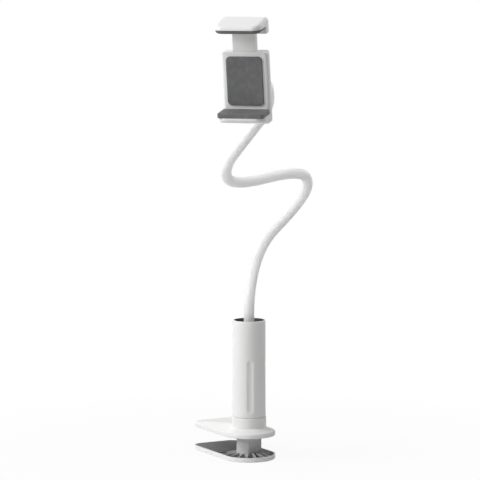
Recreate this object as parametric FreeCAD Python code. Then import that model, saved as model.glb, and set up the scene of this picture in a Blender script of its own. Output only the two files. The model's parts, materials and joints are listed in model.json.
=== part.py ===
import FreeCAD, Part
import math
import os

# A desk phone stand: a screw clamp for a table edge, a bendable arm and a spring clip on a ball joint.
# Millimetres. The clamp's stem stands on the Z axis and the tray's underside is z = 0.
# The jaws are drawn along -X and turned to JAW_HEADING about the stem.

V = FreeCAD.Vector
UP = V(0, 0, 1)

# Fits, as gaps between two faces
RUNNING_GAP = 0.06
SEAT_GAP = 0.02
LOOSE_GAP = 0.15

# How far a cutter runs past the face it opens
CUT_PAST = 1.0

# Clamp jaws, both of one outline: round about the stem, straight at the front
JAW_RADIUS = 26.0
JAW_REACH = 74.5
JAW_FRONT_HALF = 26.0
JAW_CORNER = 11.0
JAW_OPENING = 18.8
JAW_HEADING = -25.5

# Lower jaw: a ribbed tray
TRAY_HEIGHT = 4.6
TRAY_WALL = 1.3
TRAY_FLOOR = 1.6
TRAY_EDGE = 1.2
RIB_COUNT = 14
RIB_PITCH = 22.5
RIB_THICK = 1.3
RIB_TOP_AT_STEM = 7.0
RIB_TOP_AT_RIM = 4.2
SPINE_WIDTH = 3.0
SPINE_TOP = 6.0
SOCKET_WALL = 1.8
SOCKET_TOP = 4.0
SOCKET_FLOOR = 3.0

# Pads on both jaws
JAW_PAD_EDGE_X = -22.0
JAW_PAD_THICK = 2.0
JAW_PAD_PROUD = 0.3
JAW_PAD_SOFTENED = 0.4
PAD_RIB_STATIONS = (-34.0, -47.0, -60.0)

# Stem: a round post with two flats across X, and a threaded drum on top
STEM_RADIUS = 13.0
STEM_HALF_FLAT = 7.4
STEM_CORE_RADIUS = 4.0
STEM_CORE_TOP = 78.0
DRUM_BOTTOM = 100.0
DRUM_TOP = 115.0
DRUM_CHAMFER = 0.8
STEM_SCREW_Y = 7.5
STEM_SCREW_DEPTH = 14.0

# Countersunk screws
SCREW_SHANK = 1.5
SCREW_HEAD = 3.0
SCREW_HEAD_DEPTH = 1.6
SCREW_RECESS = 0.3
SCREW_DRIVE_HALF = 1.7
SCREW_DRIVE_WIDTH = 0.8
SCREW_DRIVE_DEPTH = 1.0

# Upper jaw: a plate with a sloping roof that rises to a collar, and a spigot
PLATE_THICK = 5.1
PLATE_TOP_EDGE = 2.2
PLATE_LOW_EDGE = 0.8
ROOF_MARGIN = 0.3
ROOF_CROWN_RADIUS = 12.0
ROOF_CROWN_HALF = 9.0
ROOF_CROWN_CORNER = 3.0
ROOF_RISE = 5.7
COLLAR_RADIUS = 17.0
COLLAR_TOP = 42.0
COLLAR_CHAMFER = 0.5
SPIGOT_HEIGHT = 8.0
STEM_SLIDE_GAP = 0.2

# Twist sleeve
SLEEVE_TOP = 138.0
SLEEVE_FOOT_RADIUS = 16.6
SLEEVE_HEAD_RADIUS = 16.15
SLEEVE_BORE = 14.5
SLEEVE_MOUTH = 14.8
SLEEVE_MOUTH_DEPTH = 10.0
SLEEVE_EDGE = 0.5
FLUTE_COUNT = 4
FLUTE_FIRST_ANGLE = 40.0
FLUTE_BOTTOM = 47.0
FLUTE_TOP = 100.0
FLUTE_HALF_WIDTH = 3.35
FLUTE_DEPTH = 0.9
RING_WIRE = 0.6
RING_Z = 46.0

# Bendable arm. Its route is chosen by eye along the photographed curve.
# The last run is in line with the ball stud.
ARM_RADIUS = 5.2
ARM_CORE_RADIUS = 3.2
ARM_FOOT_Z = 88.0
ARM_ROUTE = [
    (0, 0, 169),
    (-19, 47, 209),
    (0, 74, 240),
    (34, 57, 269),
    (44, 25, 287),
    (12, -44, 273),
    (28, -82, 293),
    (57, -82, 325),
    (73, -68, 351),
]
ARM_LAST_RUN = 32.0
ARC_SHARE = 0.45
FERRULE_RADIUS = 6.5
FERRULE_FLOOR = 2.0
FERRULE_FLANGE_RADIUS = 8.2
FERRULE_FLANGE = 2.0
SET_SCREW_RADIUS = 2.0
SET_SCREW_Z = 107.5
SET_SCREW_SUNK = 0.6
SET_SCREW_DRIVE = 1.1
SET_SCREW_DRIVE_DEPTH = 2.0

# Ball joint, along the stud's own axis from the arm's end to the ball's centre
BALL_X = 97.2
BALL_Y = -128.8
BALL_Z = 382.6
CLIP_TURN = 19.5
CLIP_LEAN = 9.5
STUD_RISE = 5.0
BALL_RADIUS = 8.0
ARM_END_TO_BALL = 18.0
UPPER_FERRULE_GRIP = 12.0
UPPER_FERRULE_END = 5.0
STUD_SHANK = 3.0
STUD_FLANGE = 4.5
STUD_FLANGE_THICK = 2.5
STUD_NECK = 2.8

# Ball socket and lock nut, along the clip's Y axis from the ball's centre
SOCKET_ROOT = -9.5
SOCKET_ROOT_RADIUS = 12.0
SOCKET_THREAD_RADIUS = 10.5
SOCKET_THREAD_END = -2.0
SOCKET_RIM = 3.4
SOCKET_RIM_RADIUS = 9.2
SLIT_COUNT = 4
SLIT_WIDTH = 1.4
SLIT_ROOT = -6.0
NUT_RADIUS = 13.6
NUT_FRONT = -9.2
NUT_REAR = 4.0
NUT_MOUTH_RADIUS = 8.7
NUT_GRIP_COUNT = 12
NUT_GRIP_RADIUS = 2.2
NUT_GRIP_DEPTH = 0.8

# Clip, in its own frame: X to its right, Y to its back, Z up, zero at the ball's centre
GRIP_OPENING = 72.5
GRIP_MIDDLE_Z = 12.75
GRIP_DEPTH = 21.0
GRIP_CORNER = 9.0
GRIP_CLOSING_ROOM = 17.0
GRIP_OPENING_ROOM = 19.0
CLIP_HALF_WIDTH = 22.0
BODY_REAR = -15.5
BODY_DEPTH = 10.0
BODY_WALL = 2.2
BODY_CEILING = 3.0
BODY_SIDE_WALL = 3.0
BODY_CORNER = 3.0
BODY_REAR_CORNER = 6.0
CAVITY_FLOOR = 2.2
COVER_THICK = 2.5
COVER_EDGE = 0.8
LOWER_LIP = 3.6
LOWER_DROP = 9.3
LOWER_BELLY = 8.0
GRIP_PAD_INSET = 0.4
LOWER_PAD_THICK = 4.2
LOWER_PAD_CORNER = 2.5
LOWER_PAD_EDGE = 0.6
UPPER_PAD_THICK = 3.5
UPPER_PAD_CORNER = 8.0
UPPER_PAD_EDGE = 2.0
BACK_PAD_THICK = 1.5
BACK_PAD_MARGIN = 5.0
BACK_PAD_FOOT_GAP = 3.5
BACK_PAD_HEAD_GAP = 4.0
BACK_PAD_CORNER = 4.0
UPPER_LIP = 3.8
UPPER_RISE = 7.1
UPPER_CREST_DEPTH = 9.0
UPPER_CREST_RADIUS = 12.0
UPPER_REAR_RADIUS = 4.0
UPPER_BLOCK_DROP = 6.7
UPPER_EDGE = 3.4
UPPER_REAR_CORNER = 5.0
TONGUE_WALL_GAP = 0.5
TONGUE_REAR_GAP = 2.5
TONGUE_TAIL = 8.0
TONGUE_GAP = 0.3
LUG_SIDE_GAP = 1.0
LUG_THICK = 4.0
SPRING_RADIUS = 2.4
SPRING_WIRE = 0.6
SPRING_SIDE_GAP = 1.1
SPRING_TONGUE_GAP = 2.1
SPRING_FOOT_RISE = 2.5
PIN_RADIUS = 1.0
PIN_ENGAGED = 1.0
COVER_SCREW_MARGIN = 10.5
COVER_SCREW_RISE = 5.5
COVER_SCREW_DEPTH = 9.0

# How near two measures are when an edge is picked by its place
PICK = 0.01

# Worked out from the above
UPPER_JAW_Z = TRAY_HEIGHT + JAW_OPENING
PLATE_TOP = UPPER_JAW_Z + PLATE_THICK
SPIGOT_RADIUS = SLEEVE_BORE - RUNNING_GAP
DRUM_RADIUS = SLEEVE_BORE - RUNNING_GAP
SLEEVE_FOOT_Z = COLLAR_TOP + RUNNING_GAP
BALL_SEAT_RADIUS = BALL_RADIUS + RUNNING_GAP
BALL_CENTRE = V(BALL_X, BALL_Y, BALL_Z)
BODY_FRONT = BODY_REAR - BODY_DEPTH
COVER_REAR = BODY_REAR + COVER_THICK
BACK_PLANE = BODY_FRONT - BACK_PAD_THICK
GRIP_FRONT = BACK_PLANE - GRIP_DEPTH
LOWER_GRIP_Z = GRIP_MIDDLE_Z - GRIP_OPENING / 2
UPPER_GRIP_Z = GRIP_MIDDLE_Z + GRIP_OPENING / 2
LOWER_SHELL_TOP = LOWER_GRIP_Z - LOWER_PAD_THICK
LOWER_SHELL_BOTTOM = LOWER_SHELL_TOP - LOWER_DROP
UPPER_SHELL_Z = UPPER_GRIP_Z + UPPER_PAD_THICK
UPPER_BLOCK_LOW = UPPER_SHELL_Z - UPPER_BLOCK_DROP
BODY_TOP = UPPER_BLOCK_LOW - GRIP_CLOSING_ROOM
CAVITY_HALF = CLIP_HALF_WIDTH - BODY_SIDE_WALL
CAVITY_TOP = BODY_TOP - BODY_CEILING
CAVITY_BOTTOM = LOWER_SHELL_TOP + CAVITY_FLOOR
SPRING_X = CAVITY_HALF - SPRING_SIDE_GAP - SPRING_RADIUS
SPRING_FOOT_Z = CAVITY_BOTTOM + SPRING_FOOT_RISE
TONGUE_HALF = SPRING_X - SPRING_RADIUS - SPRING_TONGUE_GAP
TONGUE_FRONT = BODY_FRONT + BODY_WALL + TONGUE_WALL_GAP
TONGUE_REAR = BODY_REAR - TONGUE_REAR_GAP
LUG_HALF = CAVITY_HALF - LUG_SIDE_GAP
LUG_TOP = CAVITY_TOP - GRIP_OPENING_ROOM
LUG_BOTTOM = LUG_TOP - LUG_THICK
TONGUE_BOTTOM = LUG_BOTTOM - TONGUE_TAIL
SPRING_Y = (TONGUE_FRONT + TONGUE_REAR) / 2
CLIP_PLACE = FreeCAD.Placement(
    BALL_CENTRE,
    FreeCAD.Rotation(UP, CLIP_TURN).multiply(FreeCAD.Rotation(V(1, 0, 0), CLIP_LEAN)),
)
STUD_TURN = FreeCAD.Rotation(UP, CLIP_TURN).multiply(FreeCAD.Rotation(V(1, 0, 0), -STUD_RISE))
STUD_PLACE = FreeCAD.Placement(BALL_CENTRE, STUD_TURN)
STUD_AXIS = STUD_TURN.multVec(V(0, -1, 0))
ARM_END = BALL_CENTRE - STUD_AXIS * ARM_END_TO_BALL


# Shape helpers

def box(x0, x1, y0, y1, z0, z1):
    return Part.makeBox(x1 - x0, y1 - y0, z1 - z0, V(x0, y0, z0))


def post(radius, z0, z1):
    return Part.makeCylinder(radius, z1 - z0, V(0, 0, z0))


def rod_y(radius, y0, y1, x=0.0, z=0.0):
    return Part.makeCylinder(radius, y1 - y0, V(x, y0, z), V(0, 1, 0))


def double_d(radius, half_flat, z0, z1):
    flats = box(-half_flat, half_flat, -radius, radius, z0, z1)
    return post(radius, z0, z1).common(flats)


def polygon(points):
    return Part.Face(Part.makePolygon(points + points[:1]))


def jaw_wire(radius, reach, half_front, corner, z):
    """A jaw's outline: an arc about the stem, two tangent sides and a straight front with round corners."""
    centre = V(corner - reach, half_front - corner, z)
    toward = math.atan2(centre.y, centre.x)
    tilt = math.acos((radius - corner) / math.hypot(centre.x, centre.y))
    side = V(math.cos(toward - tilt), math.sin(toward - tilt), 0)
    diagonal = side - V(1, 0, 0)
    diagonal.normalize()
    hub = V(0, 0, z)
    left = [
        hub + side * radius,
        centre + side * corner,
        centre + diagonal * corner,
        centre - V(corner, 0, 0),
    ]
    right = [V(point.x, -point.y, z) for point in left]
    edges = [
        Part.Arc(right[0], hub + V(radius, 0, 0), left[0]),
        Part.LineSegment(left[0], left[1]),
        Part.Arc(left[1], left[2], left[3]),
        Part.LineSegment(left[3], right[3]),
        Part.Arc(right[3], right[2], right[1]),
        Part.LineSegment(right[1], right[0]),
    ]
    return Part.Wire([edge.toShape() for edge in edges])


def jaw_outline(inset, z):
    """The jaws' outline, drawn in by inset."""
    return jaw_wire(JAW_RADIUS - inset, JAW_REACH - inset, JAW_FRONT_HALF - inset, JAW_CORNER - inset, z)


def jaw_prism(inset, z0, z1):
    return Part.Face(jaw_outline(inset, z0)).extrude(V(0, 0, z1 - z0))


def headed(shape):
    """The same shape, turned about the stem to the jaws' heading."""
    moved = shape.copy()
    moved.rotate(V(0, 0, 0), UP, JAW_HEADING)
    return moved


def edges_at(shape, z):
    return [e for e in shape.Edges if max(abs(e.BoundBox.ZMin - z), abs(e.BoundBox.ZMax - z)) < PICK]


def plan_block(half_width, front, rear, corner, z0, z1):
    """A block with rounded front corners, seen from above."""
    block = box(-half_width, half_width, front, rear, z0, z1)
    upright = [e for e in block.Edges if e.BoundBox.ZLength > PICK and e.BoundBox.YMax < front + PICK]
    return block.makeFillet(corner, upright)


def turned(radii_by_y):
    """A solid of revolution about the Y axis from (y, radius) points."""
    points = [V(radius, y, 0) for y, radius in radii_by_y]
    start = V(0, radii_by_y[0][0], 0)
    end = V(0, radii_by_y[-1][0], 0)
    return polygon([start] + points + [end]).revolve(V(0, 0, 0), V(0, 1, 0), 360)


def countersunk(depth, gap=0.0):
    """A screw that enters along +Z with its head's face at z = 0."""
    head = Part.makeCone(SCREW_HEAD + gap, SCREW_SHANK + gap, SCREW_HEAD_DEPTH)
    return head.fuse(post(SCREW_SHANK + gap, 0, depth)).removeSplitter()


def cross_driven(screw):
    """The same screw with a cross recess in its head."""
    half, side = SCREW_DRIVE_HALF, SCREW_DRIVE_WIDTH / 2
    slot = box(-half, half, -side, side, 0, SCREW_DRIVE_DEPTH)
    other = box(-side, side, -half, half, 0, SCREW_DRIVE_DEPTH)
    return screw.cut(slot.fuse(other))


def placed(shape, place):
    moved = shape.copy()
    moved.Placement = place.multiply(moved.Placement)
    return moved


def save(name, shape):
    solids = shape.Solids
    assert solids and shape.isValid(), name
    shape.exportStep("parts/" + name + ".step")
    print(name, len(solids), "solids", round(shape.Volume / 1000, 2), "cm3")


# Clamp

def tray_ribs():
    first = -RIB_PITCH * (RIB_COUNT - 1) / 2
    low = TRAY_FLOOR - SEAT_GAP
    side = [
        V(0, -RIB_THICK / 2, low),
        V(JAW_REACH, -RIB_THICK / 2, low),
        V(JAW_REACH, -RIB_THICK / 2, RIB_TOP_AT_RIM),
        V(JAW_RADIUS - TRAY_WALL, -RIB_THICK / 2, RIB_TOP_AT_RIM),
        V(STEM_RADIUS, -RIB_THICK / 2, RIB_TOP_AT_STEM),
        V(0, -RIB_THICK / 2, RIB_TOP_AT_STEM),
    ]
    rib = polygon(side).extrude(V(0, RIB_THICK, 0))
    ribs = []
    for number in range(RIB_COUNT):
        one = rib.copy()
        one.rotate(V(0, 0, 0), UP, first + number * RIB_PITCH)
        ribs.append(one)
    around_stem = box(JAW_PAD_EDGE_X, JAW_RADIUS, -JAW_RADIUS, JAW_RADIUS, 0, RIB_TOP_AT_STEM)
    return ribs[0].multiFuse(ribs[1:]).common(around_stem)


def pad_supports():
    low = TRAY_FLOOR - SEAT_GAP
    pad_seat = TRAY_HEIGHT + JAW_PAD_PROUD - JAW_PAD_THICK
    wall = box(JAW_PAD_EDGE_X, JAW_PAD_EDGE_X + TRAY_WALL, -JAW_RADIUS, JAW_RADIUS, low, TRAY_HEIGHT)
    spine = box(JAW_PAD_EDGE_X, 0, -SPINE_WIDTH / 2, SPINE_WIDTH / 2, low, SPINE_TOP)
    keel = box(-JAW_REACH, JAW_PAD_EDGE_X, -RIB_THICK / 2, RIB_THICK / 2, low, pad_seat)
    cross = [box(x, x + RIB_THICK, -JAW_RADIUS, JAW_RADIUS, low, pad_seat) for x in PAD_RIB_STATIONS]
    return wall.multiFuse([spine, keel] + cross)


def stem_screw_places():
    return [V(0, y, SCREW_RECESS) for y in (-STEM_SCREW_Y, STEM_SCREW_Y)]


def stem_screw_shapes(screw):
    shapes = []
    for place in stem_screw_places():
        one = screw.copy()
        one.translate(place)
        shapes.append(one)
    return shapes


def lower_jaw():
    tray = jaw_prism(0, 0, TRAY_HEIGHT)
    tray = tray.makeFillet(TRAY_EDGE, edges_at(tray, 0))
    tray = tray.cut(jaw_prism(TRAY_WALL, TRAY_FLOOR, TRAY_HEIGHT))
    inside = tray_ribs().fuse(pad_supports())
    inside = inside.common(jaw_prism(TRAY_WALL - SEAT_GAP, 0, RIB_TOP_AT_STEM))
    wide = SOCKET_WALL + LOOSE_GAP
    socket = double_d(STEM_RADIUS + wide, STEM_HALF_FLAT + wide, TRAY_FLOOR - SEAT_GAP, SOCKET_TOP)
    hole = double_d(STEM_RADIUS + SEAT_GAP, STEM_HALF_FLAT + SEAT_GAP, SOCKET_FLOOR, DRUM_BOTTOM)
    jaw = headed(tray.fuse(inside)).fuse(socket).cut(hole)
    for screw in stem_screw_shapes(countersunk(STEM_SCREW_DEPTH, SEAT_GAP)):
        jaw = jaw.cut(screw)
    for place in stem_screw_places():
        well = post(SCREW_HEAD + SEAT_GAP, -CUT_PAST, SCREW_RECESS)
        well.translate(V(place.x, place.y, 0))
        jaw = jaw.cut(well)
    return jaw.removeSplitter()


def jaw_pad(z0, seated_z):
    """A pad for the front of a jaw. Its edges are softened on the face away from seated_z."""
    pad = jaw_prism(TRAY_WALL + LOOSE_GAP, z0, z0 + JAW_PAD_THICK)
    front = box(-JAW_REACH, JAW_PAD_EDGE_X - LOOSE_GAP, -JAW_RADIUS, JAW_RADIUS, z0, z0 + JAW_PAD_THICK)
    pad = pad.common(front)
    free_z = z0 if seated_z > z0 else z0 + JAW_PAD_THICK
    return headed(pad.makeChamfer(JAW_PAD_SOFTENED, edges_at(pad, free_z)))


def lower_jaw_pad():
    z0 = TRAY_HEIGHT + JAW_PAD_PROUD - JAW_PAD_THICK
    return jaw_pad(z0, z0)


def upper_jaw_pad():
    z0 = UPPER_JAW_Z - JAW_PAD_PROUD
    return jaw_pad(z0, z0 + JAW_PAD_THICK)


def clamp_stem():
    stem = double_d(STEM_RADIUS, STEM_HALF_FLAT, SOCKET_FLOOR, DRUM_BOTTOM + DRUM_CHAMFER)
    drum = post(DRUM_RADIUS, DRUM_BOTTOM, DRUM_TOP)
    drum = drum.makeChamfer(DRUM_CHAMFER, edges_at(drum, DRUM_BOTTOM) + edges_at(drum, DRUM_TOP))
    stem = stem.fuse(drum)
    stem = stem.cut(post(STEM_CORE_RADIUS, SOCKET_FLOOR, STEM_CORE_TOP))
    stem = stem.cut(post(FERRULE_RADIUS + SEAT_GAP, ARM_FOOT_Z - FERRULE_FLOOR, DRUM_TOP))
    stem = stem.cut(rod_y(SET_SCREW_RADIUS + SEAT_GAP, FERRULE_RADIUS, SLEEVE_BORE, z=SET_SCREW_Z))
    for screw in stem_screw_shapes(countersunk(STEM_SCREW_DEPTH)):
        stem = stem.cut(screw)
    return stem.removeSplitter()


def jaw_roof():
    """Straight slopes from the plate's rim up to a small copy of its outline inside the collar."""
    rim = jaw_outline(PLATE_TOP_EDGE + ROOF_MARGIN, PLATE_TOP)
    reach = ROOF_CROWN_RADIUS
    top = PLATE_TOP + ROOF_RISE
    crown = jaw_wire(ROOF_CROWN_RADIUS, reach, ROOF_CROWN_HALF, ROOF_CROWN_CORNER, top)
    return Part.makeLoft([rim, crown], True, True)


def upper_jaw():
    plate = jaw_prism(0, UPPER_JAW_Z, PLATE_TOP)
    plate = plate.makeFillet(PLATE_TOP_EDGE, edges_at(plate, PLATE_TOP))
    plate = plate.makeFillet(PLATE_LOW_EDGE, edges_at(plate, UPPER_JAW_Z))
    recess = jaw_prism(TRAY_WALL, UPPER_JAW_Z, UPPER_JAW_Z + JAW_PAD_THICK - JAW_PAD_PROUD)
    plate = plate.cut(recess.common(box(-JAW_REACH, JAW_PAD_EDGE_X, -JAW_RADIUS, JAW_RADIUS, 0, PLATE_TOP)))
    collar = post(COLLAR_RADIUS, UPPER_JAW_Z + PLATE_LOW_EDGE, COLLAR_TOP)
    collar = collar.makeChamfer(COLLAR_CHAMFER, edges_at(collar, COLLAR_TOP))
    spigot = post(SPIGOT_RADIUS, COLLAR_TOP - COLLAR_CHAMFER, COLLAR_TOP + SPIGOT_HEIGHT)
    jaw = headed(plate.fuse(jaw_roof())).multiFuse([collar, spigot])
    slide = STEM_SLIDE_GAP
    jaw = jaw.cut(double_d(STEM_RADIUS + slide, STEM_HALF_FLAT + slide, 0, DRUM_BOTTOM))
    return jaw.cut(retaining_ring(SEAT_GAP)).removeSplitter()


def retaining_ring(gap=0.0):
    return Part.makeTorus(SLEEVE_BORE, RING_WIRE + gap, V(0, 0, RING_Z))


def flute_cutter():
    """A round-ended cutter that leaves a shallow flute on the sleeve's side, facing +X."""
    middle = (SLEEVE_FOOT_RADIUS + SLEEVE_HEAD_RADIUS) / 2
    chord_drop = FLUTE_HALF_WIDTH ** 2 / (2 * middle)
    below_chord = FLUTE_DEPTH - chord_drop
    radius = (FLUTE_HALF_WIDTH ** 2 + below_chord ** 2) / (2 * below_chord)
    x = middle - FLUTE_DEPTH + radius
    low = FLUTE_BOTTOM + FLUTE_HALF_WIDTH
    high = FLUTE_TOP - FLUTE_HALF_WIDTH
    shaft = Part.makeCylinder(radius, high - low, V(x, 0, low))
    return shaft.multiFuse([Part.makeSphere(radius, V(x, 0, z)) for z in (low, high)])


def twist_sleeve():
    height = SLEEVE_TOP - SLEEVE_FOOT_Z
    sleeve = Part.makeCone(SLEEVE_FOOT_RADIUS, SLEEVE_HEAD_RADIUS, height, V(0, 0, SLEEVE_FOOT_Z))
    sleeve = sleeve.makeChamfer(SLEEVE_EDGE, edges_at(sleeve, SLEEVE_FOOT_Z))
    sleeve = sleeve.makeFillet(SLEEVE_EDGE, edges_at(sleeve, SLEEVE_TOP))
    sleeve = sleeve.cut(post(SLEEVE_BORE, 0, SLEEVE_TOP + CUT_PAST))
    sleeve = sleeve.cut(post(SLEEVE_MOUTH, SLEEVE_TOP - SLEEVE_MOUTH_DEPTH, SLEEVE_TOP + CUT_PAST))
    cutter = flute_cutter()
    for number in range(FLUTE_COUNT):
        flute = cutter.copy()
        flute.rotate(V(0, 0, 0), UP, FLUTE_FIRST_ANGLE + number * 360 / FLUTE_COUNT)
        sleeve = sleeve.cut(flute)
    return sleeve.cut(retaining_ring(LOOSE_GAP))


# Arm

def rounded_path(points):
    """Straight runs joined by tangent arcs, each arc as large as its two runs allow."""
    edges = []
    radii = []
    start = points[0]
    for before, corner, after in zip(points, points[1:], points[2:]):
        back = before - corner
        on = after - corner
        half_turn = (math.pi - back.getAngle(on)) / 2
        run = ARC_SHARE * min(back.Length, on.Length)
        radius = run / math.tan(half_turn)
        back.normalize()
        on.normalize()
        inward = back + on
        inward.normalize()
        entry = corner + back * run
        leave = corner + on * run
        middle = corner + inward * (radius / math.cos(half_turn) - radius)
        edges.append(Part.LineSegment(start, entry).toShape())
        edges.append(Part.Arc(entry, middle, leave).toShape())
        radii.append(round(radius, 1))
        start = leave
    edges.append(Part.LineSegment(start, points[-1]).toShape())
    print("arm bend radii", radii)
    return Part.Wire(edges)


def disc(radius):
    return Part.Face(Part.Wire(Part.Circle(V(0, 0, ARM_FOOT_Z), UP, radius).toShape()))


def arm_pieces():
    last_bend = ARM_END - STUD_AXIS * ARM_LAST_RUN
    route = [V(0, 0, ARM_FOOT_Z)] + [V(*point) for point in ARM_ROUTE] + [last_bend, ARM_END]
    path = rounded_path(route)
    ring = disc(ARM_RADIUS).cut(disc(ARM_CORE_RADIUS)).Faces[0]
    core = path.makePipe(disc(ARM_CORE_RADIUS))
    sleeve = path.makePipe(ring)
    section = math.pi * ARM_RADIUS ** 2
    print("arm length", round(path.Length, 1), "volume check", round(section * path.Length), end=" ")
    print("against", round(core.Volume + sleeve.Volume))
    return core, sleeve


def arm_lower_ferrule():
    cup = post(FERRULE_RADIUS, ARM_FOOT_Z - FERRULE_FLOOR, DRUM_TOP + FERRULE_FLANGE)
    flange = post(FERRULE_FLANGE_RADIUS, DRUM_TOP, DRUM_TOP + FERRULE_FLANGE)
    flange = flange.makeFillet(FERRULE_FLANGE / 2, edges_at(flange, DRUM_TOP + FERRULE_FLANGE))
    bore = post(ARM_RADIUS + RUNNING_GAP, ARM_FOOT_Z, SLEEVE_TOP)
    return cup.fuse(flange).cut(bore).removeSplitter()


def arm_set_screw():
    end = DRUM_RADIUS - SET_SCREW_SUNK
    screw = rod_y(SET_SCREW_RADIUS, FERRULE_RADIUS + SEAT_GAP, end, z=SET_SCREW_Z)
    corners = [math.radians(60 * number) for number in range(6)]
    points = [V(math.cos(a), 0, math.sin(a)) * SET_SCREW_DRIVE + V(0, end, SET_SCREW_Z) for a in corners]
    return screw.cut(polygon(points).extrude(V(0, -SET_SCREW_DRIVE_DEPTH, 0)))


def arm_upper_ferrule():
    """Along the stud's axis: the arm comes from +Y, the ball is at zero."""
    rear = ARM_END_TO_BALL + UPPER_FERRULE_GRIP
    front = ARM_END_TO_BALL - UPPER_FERRULE_END
    cup = rod_y(FERRULE_RADIUS, front, rear)
    cup = cup.makeChamfer(DRUM_CHAMFER, cup.Edges[0:1] + cup.Edges[2:3])
    bore = rod_y(ARM_RADIUS + SEAT_GAP, ARM_END_TO_BALL, rear)
    return cup.cut(bore).cut(rod_y(STUD_SHANK, front, ARM_END_TO_BALL)).removeSplitter()


def ball_stud():
    shoulder = ARM_END_TO_BALL - UPPER_FERRULE_END
    ball = Part.makeSphere(BALL_RADIUS)
    neck = rod_y(STUD_NECK, 0, shoulder)
    flange = rod_y(STUD_FLANGE, shoulder - STUD_FLANGE_THICK, shoulder)
    shank = rod_y(STUD_SHANK - SEAT_GAP, shoulder, ARM_END_TO_BALL - SEAT_GAP)
    return ball.multiFuse([neck, flange, shank]).removeSplitter()


# Clip, each piece in the clip's own frame

def socket_outline(gap):
    return [
        (SOCKET_THREAD_END, SOCKET_THREAD_RADIUS + gap),
        (SOCKET_RIM, SOCKET_RIM_RADIUS + gap),
    ]


def back_block(front, rear):
    """A block with the clip's outline as seen from behind."""
    block = box(-CLIP_HALF_WIDTH, CLIP_HALF_WIDTH, front, rear, LOWER_SHELL_BOTTOM, BODY_TOP)
    return block.makeFillet(BODY_CORNER, [e for e in block.Edges if e.BoundBox.YLength > PICK])


def rear_rounding(corner, z0, z1):
    """A block as wide and deep as the clip, with rounded rear corners as seen from above."""
    block = box(-CLIP_HALF_WIDTH, CLIP_HALF_WIDTH, GRIP_FRONT, COVER_REAR, z0, z1)
    upright = [e for e in block.Edges if e.BoundBox.ZLength > PICK and e.BoundBox.YMin > COVER_REAR - PICK]
    return block.makeFillet(corner, upright)


def body_rounding():
    return rear_rounding(BODY_REAR_CORNER, LOWER_SHELL_BOTTOM, BODY_TOP)


def rear_cover():
    plate = back_block(BODY_REAR, COVER_REAR).common(body_rounding())
    plate = plate.makeFillet(COVER_EDGE, [e for e in plate.Edges if e.BoundBox.YMin > COVER_REAR - PICK])
    socket = turned(
        [
            (BODY_REAR, SOCKET_ROOT_RADIUS),
            (SOCKET_ROOT, SOCKET_ROOT_RADIUS),
            (SOCKET_ROOT, SOCKET_THREAD_RADIUS),
        ]
        + socket_outline(0)
    )
    cover = plate.fuse(socket).cut(Part.makeSphere(BALL_SEAT_RADIUS))
    cover = cover.cut(rod_y(math.sqrt(BALL_SEAT_RADIUS ** 2 - SOCKET_RIM ** 2), 0, SOCKET_RIM))
    for number in range(SLIT_COUNT // 2):
        slit = box(-SLIT_WIDTH / 2, SLIT_WIDTH / 2, SLIT_ROOT, NUT_REAR, -NUT_RADIUS, NUT_RADIUS)
        slit.rotate(V(0, 0, 0), V(0, 1, 0), number * 360 / SLIT_COUNT)
        cover = cover.cut(slit)
    for screw in cover_screw_shapes(countersunk(COVER_SCREW_DEPTH, SEAT_GAP)):
        cover = cover.cut(screw)
    return cover.removeSplitter()


def ball_lock_nut():
    outside = turned([(NUT_FRONT, NUT_RADIUS), (NUT_REAR, NUT_RADIUS)])
    rims = [e for e in outside.Edges if e.BoundBox.YLength < PICK and e.Length > NUT_RADIUS]
    outside = outside.makeChamfer(NUT_GRIP_DEPTH, rims)
    hollow = turned([(NUT_FRONT, SOCKET_THREAD_RADIUS + RUNNING_GAP)] + socket_outline(RUNNING_GAP))
    nut = outside.cut(hollow).cut(rod_y(NUT_MOUTH_RADIUS, 0, NUT_REAR))
    grip_x = NUT_RADIUS + NUT_GRIP_RADIUS - NUT_GRIP_DEPTH
    for number in range(NUT_GRIP_COUNT):
        groove = rod_y(NUT_GRIP_RADIUS, NUT_FRONT, NUT_REAR, x=grip_x)
        groove.rotate(V(0, 0, 0), V(0, 1, 0), number * 360 / NUT_GRIP_COUNT)
        nut = nut.cut(groove)
    return nut


def cover_screw_shapes(screw):
    shapes = []
    side = CLIP_HALF_WIDTH - COVER_SCREW_MARGIN
    for x in (-side, side):
        one = screw.copy()
        one.rotate(V(0, 0, 0), V(1, 0, 0), 90)
        one.translate(V(x, COVER_REAR, LOWER_SHELL_BOTTOM + COVER_SCREW_RISE))
        shapes.append(one)
    return shapes


def grip_plan(z0, z1, rear):
    return plan_block(CLIP_HALF_WIDTH, GRIP_FRONT, rear, GRIP_CORNER, z0, z1)


def side_prism(points):
    """A prism across the clip from (y, z) points."""
    face = polygon([V(-CLIP_HALF_WIDTH, y, z) for y, z in points])
    return face.extrude(V(2 * CLIP_HALF_WIDTH, 0, 0))


def spring_pin_shapes():
    front = BODY_FRONT + BODY_WALL - PIN_ENGAGED
    z = SPRING_FOOT_Z - PIN_RADIUS
    return [rod_y(PIN_RADIUS, front, BODY_REAR, x=x, z=z) for x in (-SPRING_X, SPRING_X)]


def edges_across(shape, y, z):
    """The edges that run along X at this y and z."""
    found = []
    for edge in shape.Edges:
        middle = edge.BoundBox.Center
        level = edge.BoundBox.YLength < PICK and edge.BoundBox.ZLength < PICK
        if level and abs(middle.y - y) < PICK and abs(middle.z - z) < PICK:
            found.append(edge)
    return found


def rim_of(edges):
    """Of these edges, the ones that go round the sides and the front of a grip."""
    return [e for e in edges if e.BoundBox.YLength > PICK or e.BoundBox.YMax < GRIP_FRONT + PICK]


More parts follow.
